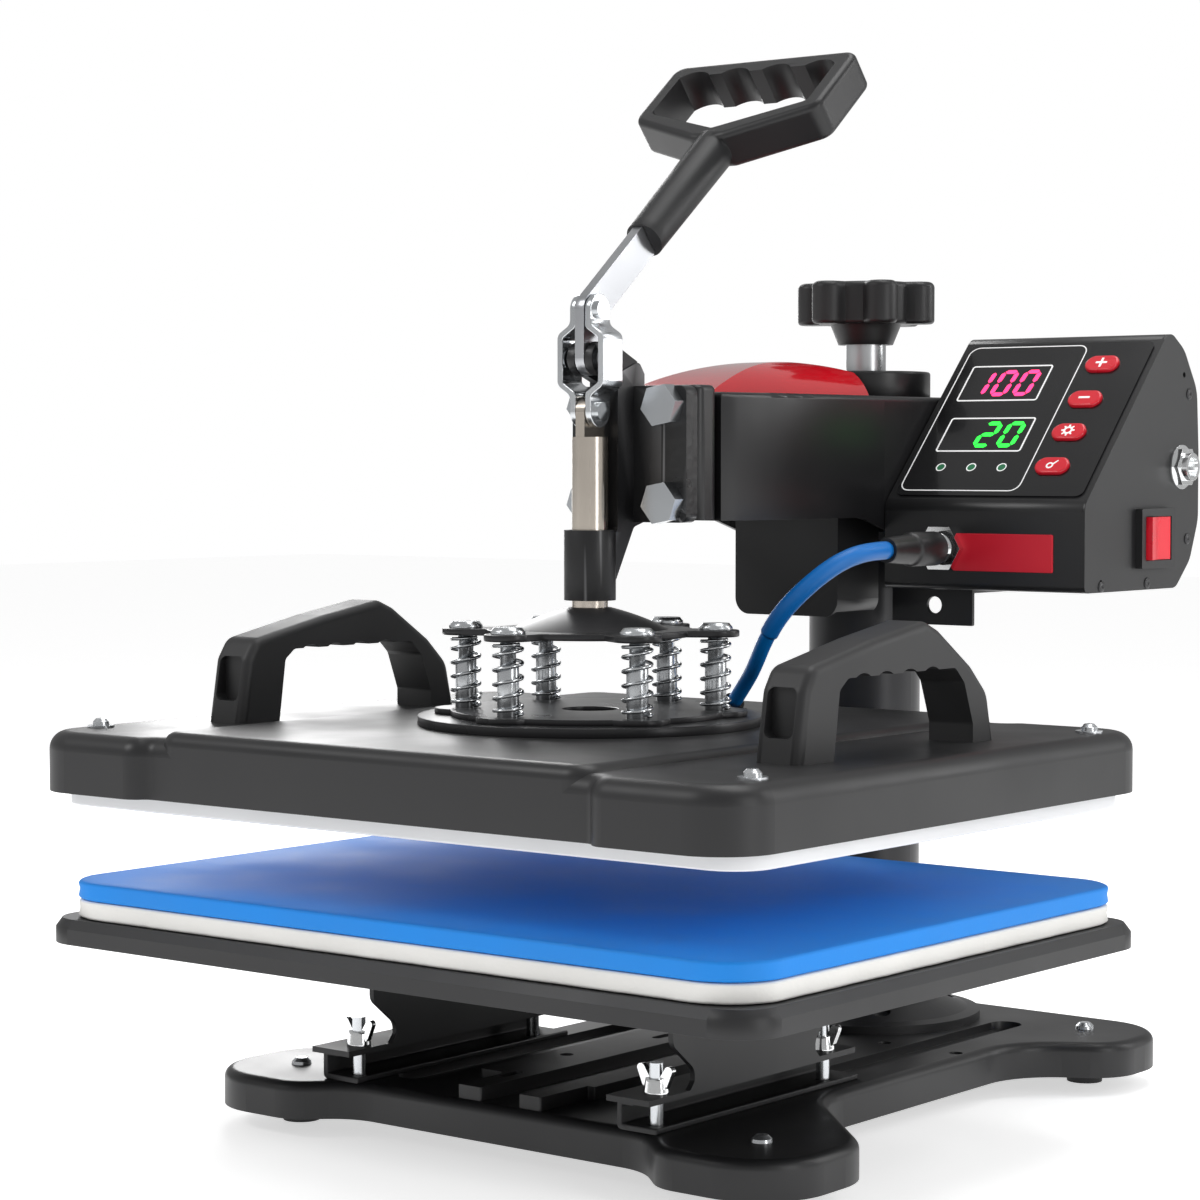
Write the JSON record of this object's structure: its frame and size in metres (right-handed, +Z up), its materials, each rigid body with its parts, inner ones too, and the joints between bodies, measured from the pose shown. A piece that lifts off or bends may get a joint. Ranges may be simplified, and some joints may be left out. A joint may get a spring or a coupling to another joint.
{
  "type": "flat heat press",
  "caption": "Swing-away flat heat press: heated platen on a toggle lever arm above a padded bed, with a column, height knob and control box.",
  "frame": {"origin": "on the table under the middle of the whole machine", "axes": "+X to the machine's right as its user sees it, +Y to the back, +Z up"},
  "size_m": [0.393, 0.4401, 0.4912],
  "materials": {
    "base_black": "satin",
    "rubber": "matt",
    "zinc": "bright zinc",
    "chrome_nut": "polished",
    "white_foam": "soft sponge",
    "blue_foam": "soft sponge",
    "steel": "satin",
    "link_zinc": "bright zinc",
    "knob_black": "satin",
    "heater": "dark sheath",
    "plate_white": "white coated",
    "blanket": "glass wool",
    "cover_black": "satin powder",
    "cast_black": "rough paint",
    "plunger_bronze": "turned",
    "lever_aluminium": "satin",
    "dome_red": "gloss",
    "cap_black": "satin",
    "box_black": "satin gloss",
    "panel_black": "printed film",
    "board_green": "lacquer",
    "key_red": "gloss",
    "gland_black": "satin",
    "cable_blue": "smooth"
  },
  "bodies": {
    "base": {"base_plate": "base_black", "rubber_feet": "rubber", "rails": "base_black", "bed_legs": "base_black", "clamp_studs": "zinc", "centre_bars": "base_black", "bed_tray": "base_black", "white_pad": "white_foam", "blue_pad": "blue_foam", "column_flange": "base_black", "base_screws": "zinc", "column_tube": "steel", "column_nut": "steel"},
    "nut_front_left": {"wing_nut_front_left": "chrome_nut"},
    "nut_rear_left": {"wing_nut_rear_left": "chrome_nut"},
    "nut_front_right": {"wing_nut_front_right": "chrome_nut"},
    "nut_rear_right": {"wing_nut_rear_right": "chrome_nut"},
    "lift": {"lift_bush": "steel"},
    "knob": {"height_knob": "knob_black", "height_screw": "steel"},
    "arm": {"arm_frame": "cast_black", "arm_cover": "cover_black", "arm_dome": "dome_red", "head_cap": "cap_black", "column_guard": "base_black", "box_bracket": "base_black", "toggle_bracket": "cast_black", "bracket_fasteners": "zinc", "guide_bush": "plunger_bronze", "box_shell": "box_black", "box_side": "box_black", "display_panel": "panel_black", "circuit_board": "board_green", "switch_bezel": "knob_black", "panel_sockets": "chrome_nut", "cable_plug": "knob_black", "mains_inlet": "knob_black", "blue_cable": "cable_blue"},
    "lever": {"lever_bar": "lever_aluminium", "lever_grip": "knob_black"},
    "link": {"toggle_links": "link_zinc", "link_rivets": "steel"},
    "plunger": {"plunger": "plunger_bronze", "spider_plate": "cast_black"},
    "platen": {"heat_plate": "plate_white", "heater_element": "heater", "insulation_blanket": "blanket", "platen_cover": "cover_black", "platen_fasteners": "zinc", "side_handles": "knob_black", "spring_disc": "steel", "lobed_plate": "steel", "spring_posts": "steel", "springs": "zinc", "cable_gland": "gland_black"},
    "key_plus": {"button_plus": "key_red"},
    "key_minus": {"button_minus": "key_red"},
    "key_settings": {"button_settings": "key_red"},
    "key_confirm": {"button_confirm": "key_red"},
    "rocker": {"power_rocker": "key_red"}
  },
  "joints": [
    {"name": "arm_lift", "type": "slide", "parent": "base", "child": "lift", "axis": [0, 0, 1], "range_m": [0, 0.012]},
    {"name": "knob_turn", "type": "hinge", "parent": "lift", "child": "knob", "pos_m": [0, 0.155, 0.38], "axis": [0, 0, 1], "range_deg": [0, 2160]},
    {"name": "arm_swing", "type": "hinge", "parent": "lift", "child": "arm", "pos_m": [0, 0.155, 0.3], "axis": [0, 0, 1], "range_deg": [-180, 180]},
    {"name": "lever_turn", "type": "hinge", "parent": "arm", "child": "lever", "pos_m": [0, -0.063, 0.3473], "axis": [1, 0, 0], "range_deg": [0, 180]},
    {"name": "link_turn", "type": "hinge", "parent": "lever", "child": "link", "pos_m": [0, -0.063, 0.3688], "axis": [1, 0, 0], "range_deg": [-180, 0]},
    {"name": "plunger_slide", "type": "slide", "parent": "arm", "child": "plunger", "axis": [0, 0, -1], "range_m": [0, 0.043], "deforming": ["springs"]},
    {"name": "platen_slide", "type": "slide", "parent": "arm", "child": "platen", "axis": [0, 0, -1], "range_m": [0, 0.0339]},
    {"name": "press_plus", "type": "slide", "parent": "arm", "child": "key_plus", "axis": [0, 0.7246, -0.6892], "range_m": [0, 0.0008], "stiffness_N_per_m": 600, "springref_m": -0.0005},
    {"name": "press_minus", "type": "slide", "parent": "arm", "child": "key_minus", "axis": [0, 0.7246, -0.6892], "range_m": [0, 0.0008], "stiffness_N_per_m": 600, "springref_m": -0.0005},
    {"name": "press_settings", "type": "slide", "parent": "arm", "child": "key_settings", "axis": [0, 0.7246, -0.6892], "range_m": [0, 0.0008], "stiffness_N_per_m": 600, "springref_m": -0.0005},
    {"name": "press_confirm", "type": "slide", "parent": "arm", "child": "key_confirm", "axis": [0, 0.7246, -0.6892], "range_m": [0, 0.0008], "stiffness_N_per_m": 600, "springref_m": -0.0005},
    {"name": "rocker_tilt", "type": "hinge", "parent": "arm", "child": "rocker", "pos_m": [0.1525, 0.165, 0.266], "axis": [0, 0, 1], "range_deg": [-14, 0]},
    {"name": "turn_nut_front_left", "type": "hinge", "parent": "base", "child": "nut_front_left", "pos_m": [-0.084, -0.1235, 0.045], "axis": [0, 0, 1], "continuous": true},
    {"name": "turn_nut_rear_left", "type": "hinge", "parent": "base", "child": "nut_rear_left", "pos_m": [-0.084, -0.0025, 0.045], "axis": [0, 0, 1], "continuous": true},
    {"name": "turn_nut_front_right", "type": "hinge", "parent": "base", "child": "nut_front_right", "pos_m": [0.084, -0.1235, 0.045], "axis": [0, 0, 1], "continuous": true},
    {"name": "turn_nut_rear_right", "type": "hinge", "parent": "base", "child": "nut_rear_right", "pos_m": [0.084, -0.0025, 0.045], "axis": [0, 0, 1], "continuous": true}
  ],
  "couplings": [
    {"joint": "knob_turn", "follows": "arm_lift", "rad_per_m": 3141.6},
    {"joint": "link_turn", "follows": "lever_turn", "ratio": -1},
    {"joint": "plunger_slide", "follows": "lever_turn", "m_per_rad": 0.01368},
    {"joint": "platen_slide", "follows": "lever_turn", "m_per_rad": 0.01079}
  ]
}
